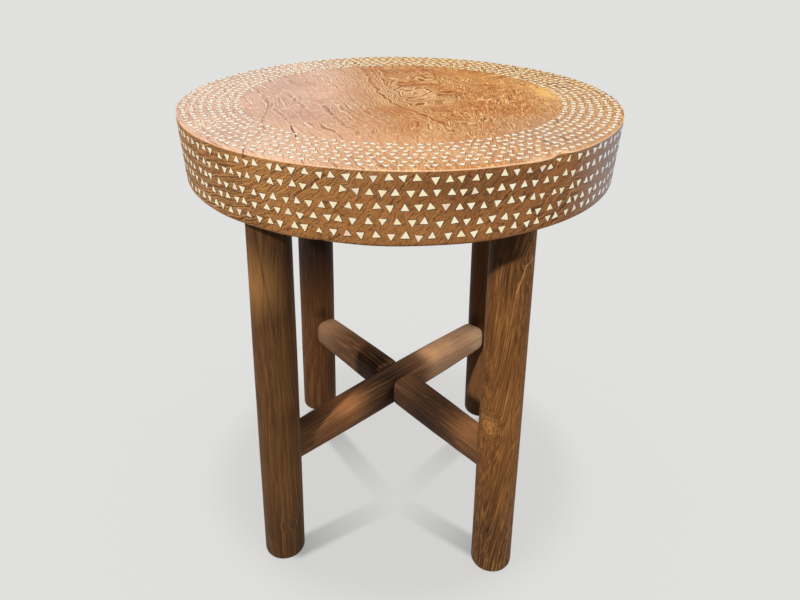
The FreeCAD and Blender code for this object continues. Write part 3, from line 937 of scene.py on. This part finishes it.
# %% [markdown]
# ## The crossed bars
# Two bars run from leg to leg and cross in the middle. Each is a stick with rounded edges and a
# rounded nose, thickest in the middle. A box is cut across in a few places, the cuts are drawn in
# towards the ends, and then the long edges and the noses are bevelled. One bar runs through. The
# other is two short sticks that meet its sides, with a lap that passes below, joined into one
# solid by a union.

# %% Measure the bars
bar_wide, bar_deep, bar_height = 0.038, 0.041, 0.149
leg_x, leg_y = 0.129, 0.1445
to_leg = math.hypot(leg_x, leg_y)
front_end, back_end = to_leg - 0.0115, to_leg - 0.0185
through_angle = math.atan2(leg_y, leg_x)
lapped_angle = math.atan2(-leg_y, leg_x)
print("the through bar is", round(1000 * (front_end + back_end)), "mm long")

# %% Shape a stick
stick_parts, thinning, stick_uneven = 8, 0.10, 0.008


def runs_along(edge):
    """True for an edge that runs along a stick."""
    return abs(edge.verts[0].co.x - edge.verts[1].co.x) > 0.005


def shape_stick(name, finish, start, end, nose_start, nose_end):
    """A stick along X from start to end, thickest near the table's middle, with a nose at each end."""
    clear_bench()
    bpy.ops.mesh.primitive_cube_add(size=1, location=((start + end) / 2, 0, bar_height),
                                    scale=(end - start, bar_wide, bar_deep))
    take_up(name, finish)
    for k in range(1, stick_parts):
        bpy.ops.mesh.select_all(action="SELECT")
        bpy.ops.mesh.bisect(plane_co=(start + (end - start) * k / stick_parts, 0, 0), plane_no=(1, 0, 0))
    for k in range(stick_parts + 1):
        at = start + (end - start) * k / stick_parts
        pick("VERT", lambda point: abs(point.co.x - at) < 1e-4)
        draw = 1 - thinning * (at / to_leg) ** 2 + maker.uniform(-stick_uneven, stick_uneven)
        bpy.ops.transform.resize(value=(1, draw, draw), center_override=(at, 0, bar_height))
    pick("EDGE", runs_along)
    bpy.ops.mesh.bevel(offset=0.0125, segments=6)
    for at, nose in ((start, nose_start), (end, nose_end)):
        pick("EDGE", lambda edge: all(abs(point.co.x - at) < 1e-5 for point in edge.verts))
        bpy.ops.mesh.bevel(offset=nose, segments=6)
    return put_down(50)


def swing_round(piece, angle):
    """Turns a stick about the upright axis and settles the turn into its mesh."""
    clear_bench()
    piece.select_set(True)
    bpy.context.view_layer.objects.active = piece
    piece.rotation_euler.z = angle
    bpy.ops.object.transform_apply(location=True, rotation=True, scale=True)


# %% [markdown]
# ### The bars' marks, and painted light and shade
# Both bars are the straight wood again, with the grain turned to their own lines. They are nearly black
# where they cross, under the middle of the top, and paler towards the legs: painted shade in the middle,
# and painted light and highlights towards the legs. Light alone would not make them so dark, so the
# painted shade does it, and the grain is calmed in the darkest places.

# %% Mix the wood of the through bar
bar_dark = chart(40, 25, 14)
painted_shade_at_crossing = (-0.004, -0.022, 0.160)
through_wood, shader, place, along, a, b = mix_straight_wood("through_bar_wood", through_angle)
tone, thread = grow_straight(place, along, a, b)
# Painted light: the through bar gets paler towards its back right end, where light falls.
painted_light_along_bar = along.step(30, 70)
colour = painted_light_along_bar.blend(chart(96, 64, 40), chart(148, 111, 82))
colour = stains_and_painted_light(place, colour, (
    # Painted light on the front left part of the through bar.
    ((-0.066, -0.074, 0.172), 0.050, chart(170, 110, 64), 0.9),
    # Painted light at the back right end.
    ((0.112, 0.125, 0.150), 0.045, chart(206, 166, 128), 0.7),
    # Painted highlights along the upper edge near the crossing.
    ((0.046, 0.046, 0.172), 0.026, chart(226, 168, 112), 0.55),
    ((0.064, 0.066, 0.172), 0.028, chart(206, 156, 108), 0.45),
    # Painted shade of the front left leg on the top of the bar.
    ((-0.104, -0.110, 0.170), 0.022, chart(84, 58, 42), 0.7),
    # Painted light on the front face near the front left leg.
    ((-0.080, -0.110, 0.140), 0.050, chart(150, 98, 60), 0.6),
    # Painted shade where the bars cross, under the middle of the top.
    (painted_shade_at_crossing, 0.084, chart(26, 14, 7), 0.97)))
calm = 1 - place.near(painted_shade_at_crossing, 0.090) * 0.8
end_straight_wood(shader, colour, tone * calm * 0.7, thread, bar_dark, chart(190, 140, 94))
print("through bar's wood has", len(through_wood.node_tree.nodes), "nodes")

# %% Mix the wood of the lapped bar
painted_shade_stretch = (0.050, -0.066, 0.140)
lapped_wood, shader, place, along, a, b = mix_straight_wood("lapped_bar_wood", lapped_angle)
tone, thread = grow_straight(place, along, a, b)
colour = place.noise(11, detail=1).blend(chart(78, 50, 30), chart(100, 66, 42))
colour = stains_and_painted_light(place, colour, (
    # Painted light on the back left nose of the lapped bar.
    ((-0.105, 0.116, 0.160), 0.055, chart(146, 112, 80), 0.8),
    # Painted highlight on the front right part of the lapped bar.
    ((0.104, -0.114, 0.176), 0.050, chart(164, 108, 64), 0.7),
    # Painted shade on the lapped bar, under the middle of the top.
    (painted_shade_stretch, 0.085, chart(30, 18, 11), 0.95),
    # More painted shade towards the crossing.
    ((-0.044, 0.050, 0.160), 0.056, chart(66, 38, 22), 0.8),
    ((0.010, -0.018, 0.136), 0.030, chart(36, 21, 12), 0.85),
    ((-0.018, 0.020, 0.165), 0.034, chart(30, 18, 11), 1.0)))
calm = 1 - place.near(painted_shade_stretch, 0.095) * 0.7
end_straight_wood(shader, colour, tone * calm * 0.7, thread, bar_dark, chart(176, 126, 82))
print("lapped bar's wood has", len(lapped_wood.node_tree.nodes), "nodes")

# %% Make the through bar
through = shape_stick("through_bar", through_wood, -front_end, back_end, 0.002, 0.013)
swing_round(through, through_angle)
print("through bar has", len(through.data.polygons), "faces")

# %% Lap the second bar under the first
bite, lap_long, lap_play = 0.0022, 0.064, 0.003
side_of_through = bar_wide / 2 / math.sin(through_angle - lapped_angle) - bite
far_stick = shape_stick("lapped_bar", lapped_wood, side_of_through, front_end, 0.0055, 0.002)
near_stick = shape_stick("near_stick", lapped_wood, -back_end, -side_of_through, 0.013, 0.0055)
clear_bench()
bpy.ops.mesh.primitive_cube_add(size=1, location=(0, 0, bar_height - bar_deep / 4),
                                scale=(lap_long, bar_wide - lap_play, bar_deep / 2 - lap_play))
lap = take_up("lap", lapped_wood)
pick("EDGE", lambda edge: runs_along(edge) and edge.verts[0].co.z < bar_height - bar_deep / 4)
bpy.ops.mesh.bevel(offset=0.009, segments=5)
put_down(50)
clear_bench()
far_stick.select_set(True)
bpy.context.view_layer.objects.active = far_stick
for part in (near_stick, lap):
    union = far_stick.modifiers.new("union", "BOOLEAN")
    union.operation = "UNION"
    union.solver = "EXACT"
    union.object = part
    bpy.ops.object.modifier_apply(modifier=union.name)
    bpy.data.objects.remove(part)
bpy.ops.object.shade_smooth_by_angle(angle=math.radians(40))
swing_round(far_stick, lapped_angle)
for bar, node in ((through, "upper_stretcher"), (far_stick, "lower_stretcher")):
    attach(bar, "root")
    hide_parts(node)
    print(bar.name, "has", len(bar.data.polygons), "faces")
